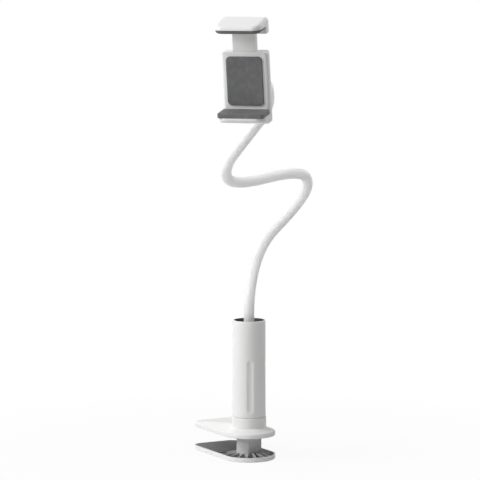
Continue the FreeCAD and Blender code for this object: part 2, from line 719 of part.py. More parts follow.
def lower_shelf():
    lip_z = LOWER_SHELL_TOP - LOWER_LIP
    shelf = side_prism(
        [
            (GRIP_FRONT, LOWER_SHELL_TOP),
            (BODY_REAR, LOWER_SHELL_TOP),
            (BODY_REAR, LOWER_SHELL_BOTTOM),
            (BODY_FRONT, LOWER_SHELL_BOTTOM),
            (GRIP_FRONT, lip_z),
        ]
    )
    shelf = shelf.makeFillet(LOWER_BELLY, edges_across(shelf, BODY_FRONT, LOWER_SHELL_BOTTOM))
    shelf = shelf.common(grip_plan(LOWER_SHELL_BOTTOM, LOWER_SHELL_TOP, BODY_REAR))
    under = [e for e in shelf.Edges if e.BoundBox.ZMax < LOWER_SHELL_TOP - PICK]
    return shelf.makeFillet(BODY_CORNER, rim_of(under))


def clip_body():
    housing = plan_block(CLIP_HALF_WIDTH, BODY_FRONT, BODY_REAR, BODY_CORNER, LOWER_SHELL_TOP, BODY_TOP)
    housing = housing.common(back_block(BODY_FRONT, BODY_REAR))
    shelf = lower_shelf()
    cavity = box(-CAVITY_HALF, CAVITY_HALF, BODY_FRONT + BODY_WALL, BODY_REAR, CAVITY_BOTTOM, CAVITY_TOP)
    slot_half = TONGUE_HALF + TONGUE_GAP
    slot_front = TONGUE_FRONT - TONGUE_GAP
    slot = box(-slot_half, slot_half, slot_front, TONGUE_REAR + TONGUE_GAP, 0, BODY_TOP)
    body = housing.fuse(shelf).common(body_rounding()).cut(cavity).cut(slot)
    for hole in spring_pin_shapes() + cover_screw_shapes(countersunk(COVER_SCREW_DEPTH)):
        body = body.cut(hole)
    return body.removeSplitter()


def grip_pad(z0, z1, corner, face_z, edge):
    """A pad on a grip. The rim of its free face is rounded, except along the housing."""
    half = CLIP_HALF_WIDTH - GRIP_PAD_INSET
    pad = plan_block(half, GRIP_FRONT + GRIP_PAD_INSET, BODY_FRONT, corner, z0, z1)
    free = [e for e in edges_at(pad, face_z) if e.BoundBox.YMin < BODY_FRONT - PICK]
    return pad.makeFillet(edge, free)


def lower_grip_pad():
    return grip_pad(LOWER_SHELL_TOP, LOWER_GRIP_Z, LOWER_PAD_CORNER, LOWER_GRIP_Z, LOWER_PAD_EDGE)


def upper_grip_pad():
    return grip_pad(UPPER_GRIP_Z, UPPER_SHELL_Z, UPPER_PAD_CORNER, UPPER_GRIP_Z, UPPER_PAD_EDGE)


def clip_back_pad():
    half = CLIP_HALF_WIDTH - BACK_PAD_MARGIN
    low = LOWER_GRIP_Z + BACK_PAD_FOOT_GAP
    pad = box(-half, half, BACK_PLANE, BODY_FRONT, low, BODY_TOP - BACK_PAD_HEAD_GAP)
    return pad.makeFillet(BACK_PAD_CORNER, [e for e in pad.Edges if e.BoundBox.YLength > PICK])


def upper_wedge():
    crest = UPPER_SHELL_Z + UPPER_RISE
    crest_y = COVER_REAR - UPPER_CREST_DEPTH
    wedge = side_prism(
        [
            (GRIP_FRONT, UPPER_SHELL_Z),
            (BODY_FRONT, UPPER_SHELL_Z),
            (BODY_FRONT, UPPER_BLOCK_LOW),
            (COVER_REAR, UPPER_BLOCK_LOW),
            (COVER_REAR, crest),
            (crest_y, crest),
            (GRIP_FRONT, UPPER_SHELL_Z + UPPER_LIP),
        ]
    )
    wedge = wedge.makeFillet(UPPER_CREST_RADIUS, edges_across(wedge, crest_y, crest))
    wedge = wedge.makeFillet(UPPER_REAR_RADIUS, edges_across(wedge, COVER_REAR, crest))
    wedge = wedge.common(grip_plan(UPPER_BLOCK_LOW, crest, COVER_REAR))
    wedge = wedge.common(rear_rounding(UPPER_REAR_CORNER, UPPER_BLOCK_LOW, crest))
    lip_z = UPPER_SHELL_Z + UPPER_LIP
    return wedge.makeFillet(UPPER_EDGE, rim_of([e for e in wedge.Edges if e.BoundBox.ZMin > lip_z - PICK]))


def upper_grip():
    grip = upper_wedge()
    tongue = box(-TONGUE_HALF, TONGUE_HALF, TONGUE_FRONT, TONGUE_REAR, TONGUE_BOTTOM, UPPER_SHELL_Z)
    lugs = box(-LUG_HALF, LUG_HALF, TONGUE_FRONT, TONGUE_REAR, LUG_BOTTOM, LUG_TOP)
    return grip.multiFuse([tongue, lugs]).removeSplitter()


def grip_spring(x):
    length = LUG_BOTTOM - SPRING_FOOT_Z
    foot = V(x, SPRING_Y, SPRING_FOOT_Z)
    coil = Part.makeCylinder(SPRING_RADIUS, length, foot)
    return coil.cut(Part.makeCylinder(SPRING_RADIUS - SPRING_WIRE, length, foot))


# Build

os.makedirs("parts", exist_ok=True)

save("lower_jaw", lower_jaw())
save("lower_jaw_pad", lower_jaw_pad())
save("clamp_stem", clamp_stem())
save("stem_screws", Part.makeCompound(stem_screw_shapes(cross_driven(countersunk(STEM_SCREW_DEPTH)))))
save("upper_jaw", upper_jaw())
save("upper_jaw_pad", upper_jaw_pad())
save("twist_sleeve", twist_sleeve())
save("sleeve_retaining_ring", retaining_ring())

arm_core, arm_sleeve = arm_pieces()
save("arm_core", arm_core)
save("arm_sleeve", arm_sleeve)
save("arm_lower_ferrule", arm_lower_ferrule())
save("arm_set_screw", arm_set_screw())
save("arm_upper_ferrule", placed(arm_upper_ferrule(), STUD_PLACE))
save("ball_stud", placed(ball_stud(), STUD_PLACE))

CLIP_PIECES = {
    "rear_cover": rear_cover(),
    "ball_lock_nut": ball_lock_nut(),
    "cover_screws": Part.makeCompound(cover_screw_shapes(cross_driven(countersunk(COVER_SCREW_DEPTH)))),
    "clip_body": clip_body(),
    "clip_back_pad": clip_back_pad(),
    "lower_grip_pad": lower_grip_pad(),
    "upper_grip": upper_grip(),
    "upper_grip_pad": upper_grip_pad(),
    "grip_spring_left": grip_spring(-SPRING_X),
    "grip_spring_right": grip_spring(SPRING_X),
    "spring_pins": Part.makeCompound(spring_pin_shapes()),
}
for node, piece in CLIP_PIECES.items():
    save(node, placed(piece, CLIP_PLACE))
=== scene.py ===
# %% [markdown]
# # A desk stand with a bendable arm, dressed for the studio
# The stand has three groups of pieces: a screw clamp for a table edge, a bendable arm, and a spring clip.
# The engineering model gives every piece its place, so this lesson starts by loading it as a fixed frame.
# After that, each step takes one piece or one finish, says what it is on the real thing and makes it.

# %% Load the frame
import json
import math
import bmesh
import bpy
from mathutils import Matrix, Vector


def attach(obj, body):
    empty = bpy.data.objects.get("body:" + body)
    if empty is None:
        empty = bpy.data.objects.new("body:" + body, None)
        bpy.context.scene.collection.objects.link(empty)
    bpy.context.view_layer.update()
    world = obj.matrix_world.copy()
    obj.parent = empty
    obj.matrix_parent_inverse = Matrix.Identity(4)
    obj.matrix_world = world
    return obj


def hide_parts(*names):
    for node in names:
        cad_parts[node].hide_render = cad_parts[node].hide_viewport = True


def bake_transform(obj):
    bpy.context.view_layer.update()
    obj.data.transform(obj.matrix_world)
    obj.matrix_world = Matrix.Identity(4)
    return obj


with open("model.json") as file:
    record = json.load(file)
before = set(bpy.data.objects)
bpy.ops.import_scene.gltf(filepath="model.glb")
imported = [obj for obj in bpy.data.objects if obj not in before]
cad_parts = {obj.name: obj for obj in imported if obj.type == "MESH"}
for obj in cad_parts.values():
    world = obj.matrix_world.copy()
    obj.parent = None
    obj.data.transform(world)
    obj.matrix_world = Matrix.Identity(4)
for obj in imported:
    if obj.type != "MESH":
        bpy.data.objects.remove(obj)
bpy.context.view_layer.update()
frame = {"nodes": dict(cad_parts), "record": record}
nodes = frame["nodes"]
MM = 0.001

# %% [markdown]
# ## Working by hand, from code
# Blender's operators act on whatever is selected, as they do under the mouse.
# These helpers do what the hand does first: leave edit mode, clear the selection, take one object,
# and pick its faces, edges or vertices by where they lie.

# %% Selection helpers


def deselect():
    if bpy.context.mode != "OBJECT":
        bpy.ops.object.mode_set(mode="OBJECT")
    bpy.ops.object.select_all(action="DESELECT")


def take(obj):
    deselect()
    bpy.context.view_layer.objects.active = obj
    obj.select_set(True)


def edit(obj):
    take(obj)
    bpy.ops.object.mode_set(mode="EDIT")
    bpy.ops.mesh.select_all(action="DESELECT")


def pick(obj, kind, test):
    """In edit mode, select the faces, edges or vertices that the test accepts."""
    bpy.ops.mesh.select_mode(type=kind)
    bpy.ops.mesh.select_all(action="DESELECT")
    mesh = bmesh.from_edit_mesh(obj.data)
    items = {"FACE": mesh.faces, "EDGE": mesh.edges, "VERT": mesh.verts}[kind]
    for item in items:
        if test(item):
            item.select_set(True)
    bmesh.update_edit_mesh(obj.data)


def modify(obj, kind, **settings):
    """Add a modifier with these settings and apply it at once."""
    take(obj)
    modifier = obj.modifiers.new(kind.lower(), kind)
    for name, value in settings.items():
        setattr(modifier, name, value)
    bpy.ops.object.modifier_apply(modifier=modifier.name)


def smooth(obj, degrees=35):
    take(obj)
    bpy.ops.object.shade_smooth_by_angle(angle=math.radians(degrees))


def settle(obj):
    """Put the object's place into its mesh, so that the object sits at the origin."""
    take(obj)
    bpy.ops.object.transform_apply(location=True, rotation=True, scale=True)


def triangles(obj):
    return sum(len(face.vertices) - 2 for face in obj.data.polygons)


deselect()
print("helpers ready, nothing selected")

# %% [markdown]
# ## Camera
# The photograph was taken from far off with a long lens: the clamp's round forms are almost plain ellipses.
# The eye is a little above the table: the camera is turned 36 degrees round the stem and looks down by 6.

# %% Camera
IMAGE_SIDE = 480
FOCAL_PIXELS = 2600
SENSOR = 36.0
CAMERA_TURN = 36
CAMERA_TILT = 84.1
camera_data = bpy.data.cameras.new("camera")
camera_data.sensor_width = SENSOR
camera_data.lens = FOCAL_PIXELS / IMAGE_SIDE * SENSOR
camera_data.clip_end = 50
camera = bpy.data.objects.new("camera", camera_data)
camera.location = (1.4848, -2.0588, 0.4793)
camera.rotation_euler = (math.radians(CAMERA_TILT), 0, math.radians(CAMERA_TURN))
bpy.context.scene.collection.objects.link(camera)
bpy.context.scene.camera = camera
print("lens", round(camera_data.lens), "mm")

# %% [markdown]
# ## Shader maths as Python
# A finish is a small network of nodes. Written out node by node it is long and hard to read,
# so one class wraps a socket and lets Python's own operators add the Math nodes,
# and one method adds any other node with its settings and its sockets.

# %% Shader helpers


class Wire:
    """A shader value that can be added and multiplied."""

    def __init__(self, network, socket):
        self.network = network
        self.socket = socket

    def maths(self, operation, first, second):
        return self.network.node("ShaderNodeMath", {"operation": operation}, {0: first, 1: second})

    def __add__(self, other):
        return self.maths("ADD", self, other)

    def __radd__(self, other):
        return self.maths("ADD", other, self)

    def __mul__(self, other):
        return self.maths("MULTIPLY", self, other)

    def __rmul__(self, other):
        return self.maths("MULTIPLY", other, self)

    def larger(self, other):
        return self.maths("MAXIMUM", self, other)

    def root(self):
        return self.maths("POWER", self, 0.5)

    def between(self, low_mm, high_mm, first, last):
        """For a length: a value that goes from first to last between two lengths."""
        sockets = {"Value": self, 1: low_mm * MM, 2: high_mm * MM, 3: first, 4: last}
        return self.network.node("ShaderNodeMapRange", None, sockets)


class Network:
    """The nodes of the world or of a material."""

    def __init__(self, tree):
        self.tree = tree

    def node(self, kind, settings=None, sockets=None, output=0):
        made = self.tree.nodes.new(kind)
        for name, value in (settings or {}).items():
            if name == "stops":
                self.set_ramp(made.color_ramp, value)
            else:
                setattr(made, name, value)
        for name, value in (sockets or {}).items():
            self.feed(made.inputs[name], value)
        return Wire(self, made.outputs[output])

    def set_ramp(self, ramp, stops):
        while len(ramp.elements) < len(stops):
            ramp.elements.new(1.0)
        for element, (position, level) in zip(ramp.elements, stops):
            element.position = position
            element.color = (level, level, level, 1)

    def feed(self, socket, value):
        if isinstance(value, Wire):
            self.tree.links.new(value.socket, socket)
        else:
            socket.default_value = value

    def looking(self):
        """1 for rays that only look at the studio, 0 for the rays that carry its light to the stand."""
        rays = ("Is Camera Ray", "Is Glossy Ray", "Is Transmission Ray")
        straight, glossy, through = [self.node("ShaderNodeLightPath", output=ray) for ray in rays]
        return straight.larger(glossy).larger(through)


class Finish(Network):
    """A material with one Principled shader, and the nodes that feed it."""

    def __init__(self, name, **constants):
        self.material = bpy.data.materials.new(name)
        self.material.use_nodes = True
        super().__init__(self.material.node_tree)
        self.shader = self.tree.nodes["Principled BSDF"]
        for socket, value in constants.items():
            self.shader.inputs[socket.replace("_", " ")].default_value = value
        self.place = self.node("ShaderNodeTexCoord", output="Object")

    def noise(self, size_mm, detail=3.0, roughness=0.5, place=None):
        """Cloudy noise from 0 to 1 whose blobs are about this many millimetres across."""
        sockets = {"Vector": place or self.place, "Scale": 1 / (size_mm * MM)}
        sockets.update({"Detail": detail, "Roughness": roughness})
        return self.node("ShaderNodeTexNoise", None, sockets)

    def stretched(self, scale):
        return self.node("ShaderNodeMapping", None, {"Vector": self.place, "Scale": scale})

    def from_axis(self):
        """The distance from the stem's axis."""
        flat = self.stretched((1, 1, 0))
        return self.node("ShaderNodeVectorMath", {"operation": "LENGTH"}, {0: flat}, output=1)

    def ramp(self, value, stops):
        return self.node("ShaderNodeValToRGB", {"stops": stops}, {"Fac": value})

    def mix(self, share, first, second):
        first, second = [colour if isinstance(colour, Wire) else (*colour, 1) for colour in (first, second)]
        sockets = {0: share, 6: first, 7: second}
        return self.node("ShaderNodeMix", {"data_type": "RGBA"}, sockets, output=2)

    def paint(self, socket, value):
        self.feed(self.shader.inputs[socket], value)

    def grain(self, height, depth_mm, strength=1.0):
        sockets = {"Height": height, "Distance": depth_mm * MM, "Strength": strength}
        self.paint("Normal", self.node("ShaderNodeBump", None, sockets))


print("shader helpers ready")

# %% [markdown]
# ## Satin white plastic
# The clamp and the clip are moulded in white plastic. The mould is spark-eroded, which leaves a grain
# of a few tenths of a millimetre, and the sheen is satin. Handling makes some patches a little duller.
# The colour itself wanders by a few parts in a hundred, which is enough to look moulded and not painted.

# %% White plastic
WHITE = (0.86, 0.86, 0.855)
DEEP_WHITE = (0.835, 0.835, 0.825)
# The stem is white plastic like the rest. Its grey here is painted shade, for the shade it stands in
# between the jaws.
STEM_PAINTED_SHADE = (0.60, 0.60, 0.60)
DEEP_STEM_PAINTED_SHADE = (0.55, 0.55, 0.55)


def white_plastic(name, pale, deep, sheen, grain_mm, grain_depth):
    finish = Finish(name, Specular_IOR_Level=0.22)
    clouds = finish.noise(38.0, detail=4.0)
    handling = finish.noise(11.0, detail=2.0)
    speck = finish.ramp(finish.noise(1.7, detail=1.0), [(0.70, 0.0), (0.78, 1.0)])
    finish.colour = finish.mix(clouds * 0.75 + speck * 0.25, pale, deep)
    finish.paint("Base Color", finish.colour)
    finish.paint("Roughness", sheen + handling * 0.12 + speck * 0.05)
    finish.grain(finish.noise(grain_mm, detail=2.0) + finish.noise(grain_mm * 9) * 0.6, grain_depth)
    return finish


moulded_white = white_plastic("moulded_white", WHITE, DEEP_WHITE, 0.33, 0.35, 0.012).material
stem_white_painted_shade = white_plastic("stem_white_painted_shade", STEM_PAINTED_SHADE, DEEP_STEM_PAINTED_SHADE, 0.45, 0.5, 0.02).material
print("white plastics made")

# %% [markdown]
# ## The tray's inside
# The lower jaw is an open tray with ribs. Its outer wall is as white as the rest, but its inside lies in
# the upper jaw's shade, and that shade is painted into its colour: the floor of the tray is painted grey
# and the ribs' tops are paler. Object coordinates are in metres from the stem's foot. Turned to the tray's
# own direction, they give the distance from its middle line, and behind the stem the distance from the
# stem. That and the height make the mask of painted shade.

# %% Tray plastic
JAW_TURN = math.radians(25.5)
PAINTED_SHADE_GREY = (0.17, 0.17, 0.17)
tray = white_plastic("tray_white_painted_shade", WHITE, DEEP_WHITE, 0.38, 0.45, 0.018)
turned_back = {"Vector": tray.place, "Rotation": (0, 0, JAW_TURN)}
along_tray = tray.node("ShaderNodeMapping", None, turned_back)
axes = [tray.node("ShaderNodeSeparateXYZ", None, {0: along_tray}, axis) for axis in range(3)]
tray_x, tray_y, tray_z = axes
behind_stem = tray_x.larger(0.0)
tray_reach = (behind_stem * behind_stem + tray_y * tray_y).root()
inside_wall = tray_reach.between(24.5, 24.9, 1.0, 0.0)
above_floor = tray_z.between(0.8, 1.3, 0.0, 1.0)
deepest = tray_z.between(1.6, 6.5, 1.0, 0.45)
# Painted shade: darkest on the tray's floor, fading towards the ribs' tops.
painted_shade = above_floor * inside_wall * deepest * (0.85 + tray.noise(3.0) * 0.3)
tray.paint("Base Color", tray.mix(painted_shade, tray.colour, PAINTED_SHADE_GREY))
tray_white_painted_shade = tray.material
print("tray plastic made")

# %% [markdown]
# ## The sleeve's bore
# The sleeve is white outside, and its bore is coloured dark grey.
# A mask by the distance from the stem's axis makes the bore dark.

# %% Sleeve plastic
BORE_GREY = (0.10, 0.10, 0.10)
tube = white_plastic("sleeve_white", WHITE, DEEP_WHITE, 0.33, 0.35, 0.012)
bore_dark = tube.from_axis().between(14.9, 15.15, 1.0, 0.0) * (0.9 + tube.noise(4.0, detail=4.0) * 0.2)
tube.paint("Base Color", tube.mix(bore_dark, tube.colour, BORE_GREY))
sleeve_white = tube.material
print("sleeve plastic made")

# %% [markdown]
# ## Soft white sheath
# The arm is covered with a smooth, slightly soft tube. Light goes deep into it, so its shaded side
# stays paler than that of the hard plastic. Subsurface scattering gives that. Faint clouds keep its
# colour and its gloss from being quite even.

# %% Sheath
sheath = Finish("soft_sheath", Specular_IOR_Level=0.35, Subsurface_Weight=1.0, Subsurface_Scale=0.016)
sheath.shader.inputs["Subsurface Radius"].default_value = (1.0, 1.0, 1.0)
sheath_clouds = sheath.noise(25.0, detail=3.0)
sheath.paint("Base Color", sheath.mix(sheath_clouds, (0.93, 0.93, 0.925), (0.90, 0.90, 0.895)))
sheath.paint("Roughness", 0.40 + sheath.noise(6.0) * 0.14)
soft_sheath = sheath.material
print("sheath made")

# %% [markdown]
# ## Grey silicone
# The five pads of the jaws and the clip are dark grey silicone, matt and a little dusty.
# Dust collects in patches, so one cloudy noise lifts both the colour and the roughness.

# %% Silicone
silicone = Finish("grey_silicone", Specular_IOR_Level=0.3)
dust = silicone.ramp(silicone.noise(6.0, detail=5.0, roughness=0.65), [(0.42, 0.0), (0.75, 1.0)])
silicone.paint("Base Color", silicone.mix(dust, (0.135, 0.137, 0.14), (0.185, 0.185, 0.185)))
silicone.paint("Roughness", 0.55 + dust * 0.22)
silicone.grain(silicone.noise(0.28, detail=3.0) + silicone.noise(1.6) * 0.5, 0.035)
grey_silicone = silicone.material
print("silicone made")

# %% [markdown]
# ## Metals
# Screws, pins and springs are plain steel, the arm's ferrules are turned aluminium and the ball is
# chromed. Turned and drawn metal shows fine lines along the tool's path. Noise that is stretched along
# one axis gives such lines, and it goes to the roughness, where a real scratch is seen first.

# %% Metals


def bare_metal(name, bright, dull, smoothness, stretch, line_mm):
    finish = Finish(name, Metallic=1.0)
    lines = finish.noise(line_mm, detail=2.0, place=finish.stretched(stretch))
    stain = finish.noise(5.0, detail=4.0)
    finish.paint("Base Color", finish.mix(stain * 0.6 + lines * 0.4, bright, dull))
    finish.paint("Roughness", smoothness + lines * 0.12 + stain * 0.08)
    finish.grain(lines, 0.004)
    return finish.material


steel = bare_metal("plain_steel", (0.62, 0.62, 0.63), (0.50, 0.50, 0.51), 0.26, (1, 1, 0.06), 0.25)
turned = (0.05, 0.05, 1)
aluminium = bare_metal("turned_aluminium", (0.78, 0.78, 0.79), (0.70, 0.70, 0.71), 0.28, turned, 0.3)
chrome = bare_metal("chromed_steel", (0.80, 0.80, 0.82), (0.76, 0.76, 0.78), 0.05, (1, 1, 1), 2.0)
print("metals made")

# %% [markdown]
# ## Studio
# The stand is shown on white. The floor is pale and keeps a soft shadow, and the surroundings are white
# to the eye and in reflections, while their light on the stand stays moderate. Light Path tells those
# rays apart. Away from the stand the floor turns quite white to the eye, so that no horizon shows.
# A large lamp on the left models the round forms, as the photograph shows. A small lamp before the clip
# and above it lights its top and its lip, one on the right keeps the shaded side of the arm pale, one
# stands behind for views of the back, and a weak one fills from the front.

# %% Surroundings
scene = bpy.context.scene
scene.view_settings.view_transform = "Standard"
AMBIENT = 0.185
world = bpy.data.worlds.new("studio")
scene.world = world
world.use_nodes = True
sky = Network(world.node_tree)
background = world.node_tree.nodes["Background"]
background.inputs["Color"].default_value = (1, 1, 1, 1)
sky.feed(background.inputs["Strength"], AMBIENT + sky.looking() * (1 - AMBIENT))
print("surroundings made")

# %% Floor
FLOOR_RADIUS = 6.0
FLOOR_HEIGHT = -0.0002
deselect()
bpy.ops.mesh.primitive_circle_add(
    vertices=96, radius=FLOOR_RADIUS, fill_type="NGON", location=(0, 0, FLOOR_HEIGHT)
)
floor = bpy.context.object
floor.name = "studio_floor"
settle(floor)
pale = Finish("pale_floor", Roughness=0.9, Specular_IOR_Level=0.0)
pale.paint("Base Color", (0.80, 0.80, 0.80, 1))
glow = pale.node("ShaderNodeEmission", None, {"Color": (1, 1, 1, 1), "Strength": 1.0})
whiteness = pale.from_axis().between(100, 450, 0.93, 1.0)
diffuse = Wire(pale, pale.shader.outputs[0])
mixed = pale.node("ShaderNodeMixShader", None, {0: pale.looking() * whiteness, 1: diffuse, 2: glow})
pale.feed(pale.tree.nodes["Material Output"].inputs["Surface"], mixed)
floor.data.materials.append(pale.material)
print("floor made")

# %% Lamps


def lamp(name, aim, azimuth, elevation, distance, size, power):
    """A square lamp aimed at a point. Azimuth is counted from the camera, to its right."""
    turn = math.radians(azimuth - 90 + CAMERA_TURN)
    rise = math.radians(elevation)
    away = Vector((math.cos(turn) * math.cos(rise), math.sin(turn) * math.cos(rise), math.sin(rise)))
    data = bpy.data.lights.new(name, "AREA")
    data.size = size
    data.energy = power
    obj = bpy.data.objects.new(name, data)
    obj.location = Vector(aim) + away * distance
    obj.rotation_euler = (-away).to_track_quat("-Z", "Y").to_euler()
    bpy.context.scene.collection.objects.link(obj)
    return obj


STAND_MIDDLE = (0.03, -0.03, 0.22)
CLIP_MIDDLE = (0.11, -0.16, 0.40)
ARM_MIDDLE = (0.02, 0.0, 0.28)
key = lamp("key_lamp", STAND_MIDDLE, -74, 29, 2.2, 1.3, 36.5)
above_clip = lamp("clip_lamp", CLIP_MIDDLE, -25, 52, 0.6, 0.35, 0.75)
beside_arm = lamp("arm_lamp", ARM_MIDDLE, 90, 52, 0.3, 0.3, 0.4)
back = lamp("back_lamp", STAND_MIDDLE, -152, 25, 2.6, 1.6, 10)
fill = lamp("front_lamp", STAND_MIDDLE, -20, 35, 2.8, 1.8, 5.0)
print("lamps", [light.data.energy for light in (key, above_clip, beside_arm, back, fill)])

# %% [markdown]
# ## The bendable arm
# The arm is a wire core in a soft white sheath, bent by hand into an S and held by its own stiffness.
# Straight runs with round corners would look like bent wire, so its line is a NURBS spline that a row
# of points pulls into shape, with a round section swept along it and then made a mesh.
# The first three points stand in line and keep its foot straight, so that the sleeve can rise along it.

# %% Arm
BALL = Vector((97.2, -128.8, 382.6))
CLIP_TURN = math.radians(19.5)
CLIP_LEAN = math.radians(9.5)
STUD_RISE = math.radians(5.0)
STUD_REACH = 18.0
STRAIGHT_END = 32.0
SHEATH_RADIUS = 5.2
CORE_RADIUS = 3.1
at_ball = Matrix.Translation(BALL * MM) @ Matrix.Rotation(CLIP_TURN, 4, "Z")
stud_frame = at_ball @ Matrix.Rotation(-STUD_RISE, 4, "X")
clip_frame = at_ball @ Matrix.Rotation(CLIP_LEAN, 4, "X")
to_ball = (stud_frame.to_3x3() @ Vector((0, -1, 0))).normalized()
arm_end = BALL - to_ball * STUD_REACH
ARM_ROUTE = [
    (0, 0, 88), (0, 0, 125), (0, 0, 169), (-19, 47, 209), (0, 74, 240), (34, 57, 269), (44, 25, 287),
    (12, -44, 273), (28, -82, 293), (57, -82, 325), (73, -68, 351),
]
arm_route = [Vector(point) for point in ARM_ROUTE] + [arm_end - to_ball * STRAIGHT_END, arm_end]


def swept_tube(name, route, radius, sides):
    curve = bpy.data.curves.new(name, "CURVE")
    curve.dimensions = "3D"
    curve.resolution_u = 16
    spline = curve.splines.new("NURBS")
    spline.points.add(len(route) - 1)
    for point, place in zip(spline.points, route):
        point.co = (*(place * MM), 1)
    spline.order_u = 3
    spline.use_endpoint_u = True
    curve.bevel_depth = radius * MM
    curve.bevel_resolution = sides // 2 - 2
    curve.use_fill_caps = True
    obj = bpy.data.objects.new(name, curve)
    bpy.context.scene.collection.objects.link(obj)
    take(obj)
    bpy.ops.object.convert(target="MESH")
    smooth(obj, 60)
    return obj


arm_tube = swept_tube("arm_sheath", arm_route, SHEATH_RADIUS, 32)
arm_tube.data.materials.append(soft_sheath)
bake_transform(arm_tube)
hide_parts("arm_sleeve")
arm_wire = swept_tube("arm_wire", arm_route, CORE_RADIUS, 12)
arm_wire.data.materials.append(aluminium)
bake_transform(arm_wire)
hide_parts("arm_core")
print("arm", triangles(arm_tube), "triangles")

# %% [markdown]
# ## The twist sleeve
# The long sleeve is turned by hand to move the upper jaw. It is a moulded tube, a little wider at its
# foot, with four long finger grooves. A cylinder with cut-outs would leave hard borders, and a mould
# maker rounds them. So the tube is drawn as rings, each extruded from the last, along its outside, over
# the top and down the bore. The grooves are then pushed in by a Displace modifier, with a vertex group
# that says how deep each point goes.

# %% Sleeve
SLEEVE_FOOT = 42.06
SLEEVE_TOP = 138.0
FOOT_RADIUS = 16.6
HEAD_RADIUS = 16.15
SLEEVE_SIDES = 160


def sleeve_radius(height):
    share = (height - SLEEVE_FOOT) / (SLEEVE_TOP - SLEEVE_FOOT)
    return FOOT_RADIUS + (HEAD_RADIUS - FOOT_RADIUS) * share


def rings(name, profile, sides):
    """A turned solid: a ring for each (radius, height) of a closed profile, extruded one from another."""
    deselect()
    radius, height = profile[0]
    bpy.ops.mesh.primitive_circle_add(vertices=sides, radius=radius * MM, location=(0, 0, height * MM))
    obj = bpy.context.object
    obj.name = name
    settle(obj)
    edit(obj)
    bpy.ops.mesh.select_all(action="SELECT")
    for next_radius, next_height in profile[1:] + profile[:1]:
        grow = next_radius / radius
        lift = (0, 0, (next_height - height) * MM)
        bpy.ops.mesh.extrude_region_move(TRANSFORM_OT_translate={"value": lift})
        bpy.ops.transform.resize(value=(grow, grow, 1), center_override=(0, 0, 0))
        radius, height = next_radius, next_height
    bpy.ops.mesh.select_all(action="SELECT")
    bpy.ops.mesh.remove_doubles(threshold=0.01 * MM)
    bpy.ops.mesh.normals_make_consistent(inside=False)
    deselect()
    return obj


outside = [(sleeve_radius(height), height) for height in range(45, 103)]
outside += [(sleeve_radius(height), height) for height in (110, 120, 130)]
foot_edge = [(FOOT_RADIUS - 0.9, SLEEVE_FOOT), (FOOT_RADIUS - 0.25, 42.3), (FOOT_RADIUS, 42.9)]
top_edge = [(HEAD_RADIUS, 137.4), (HEAD_RADIUS - 0.12, 137.78), (HEAD_RADIUS - 0.5, SLEEVE_TOP)]
mouth = [(15.0, SLEEVE_TOP), (14.8, 137.8), (14.8, 128.0), (14.5, 128.0)]
ring_groove = [(14.5, 46.75), (15.25, 46.75), (15.25, 45.25), (14.5, 45.25), (14.5, SLEEVE_FOOT)]
profile = foot_edge + outside + top_edge + mouth + ring_groove
sleeve = rings("twist_sleeve_tube", profile, SLEEVE_SIDES)
print("sleeve", triangles(sleeve), "triangles")

# %% Sleeve grooves
GROOVE_HALF = 3.35
GROOVE_LOW = 50.35
GROOVE_HIGH = 96.65
GROOVE_DEPTH = 0.9
FIRST_GROOVE = 40
GROOVE_STEP = 90
OUTER_SKIN = 15.8


def groove_depth(point):
    """From 0 at a groove's border to 1 along its middle."""
    radius = math.hypot(point.x, point.y)
    turn = math.degrees(math.atan2(point.y, point.x)) - FIRST_GROOVE
    turn = (turn + GROOVE_STEP / 2) % GROOVE_STEP - GROOVE_STEP / 2
    across = math.radians(turn) * radius
    along = max(GROOVE_LOW - point.z, point.z - GROOVE_HIGH, 0)
    near = math.hypot(across, along) / GROOVE_HALF
    return max(0, 1 - near * near) if radius > OUTER_SKIN else 0


grooves = sleeve.vertex_groups.new(name="grooves")
for vertex in sleeve.data.vertices:
    grooves.add([vertex.index], groove_depth(vertex.co / MM), "REPLACE")
modify(sleeve, "DISPLACE", vertex_group="grooves", strength=-GROOVE_DEPTH * MM, mid_level=0)
smooth(sleeve)
sleeve.data.materials.append(sleeve_white)
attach(sleeve, "sleeve")
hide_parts("twist_sleeve")
print("sleeve with grooves", triangles(sleeve), "triangles")

# %% [markdown]
# ## Silicone pads
# Five grey pads keep the jaws and the clip from marking what they hold. Each is cast, so its outline has
# round corners and its free face a soft rim, and it sags a little towards the middle of its face.
# A plane is a good start: its corner vertices are bevelled to the outline, it is extruded to the pad's
# thickness, the free rim is bevelled, and an inset face is sunk to give the shallow dish.

# %% Pads


def cast_pad(name, low, high, corner, corners, thick, rim, dish):
    """A pad from low to high in X and Y, and from z = 0 up. The test says which corners are rounded."""
    deselect()
    bpy.ops.mesh.primitive_plane_add(size=1)
    obj = bpy.context.object
    obj.name = name
    obj.scale = ((high[0] - low[0]) * MM, (high[1] - low[1]) * MM, 1)
    obj.location = ((low[0] + high[0]) / 2 * MM, (low[1] + high[1]) / 2 * MM, 0)
    settle(obj)
    edit(obj)
    pick(obj, "VERT", lambda vertex: corners(vertex.co))
    bpy.ops.mesh.bevel(offset=corner * MM, segments=14, affect="VERTICES")
    bpy.ops.mesh.select_all(action="SELECT")
    bpy.ops.mesh.extrude_region_move(TRANSFORM_OT_translate={"value": (0, 0, thick * MM)})
    pick(obj, "EDGE", lambda edge: min(vertex.co.z for vertex in edge.verts) > (thick - 0.01) * MM)
    bpy.ops.mesh.bevel(offset=rim * MM, segments=5)
    pick(obj, "FACE", lambda face: min(vertex.co.z for vertex in face.verts) > (thick - 0.01) * MM)
    bpy.ops.mesh.inset(thickness=1.2 * MM)
    bpy.ops.mesh.inset(thickness=2.0 * MM)
    bpy.ops.transform.translate(value=(0, 0, -dish * MM))
    bpy.ops.mesh.select_all(action="SELECT")
    bpy.ops.mesh.normals_make_consistent(inside=False)
    deselect()
    return obj


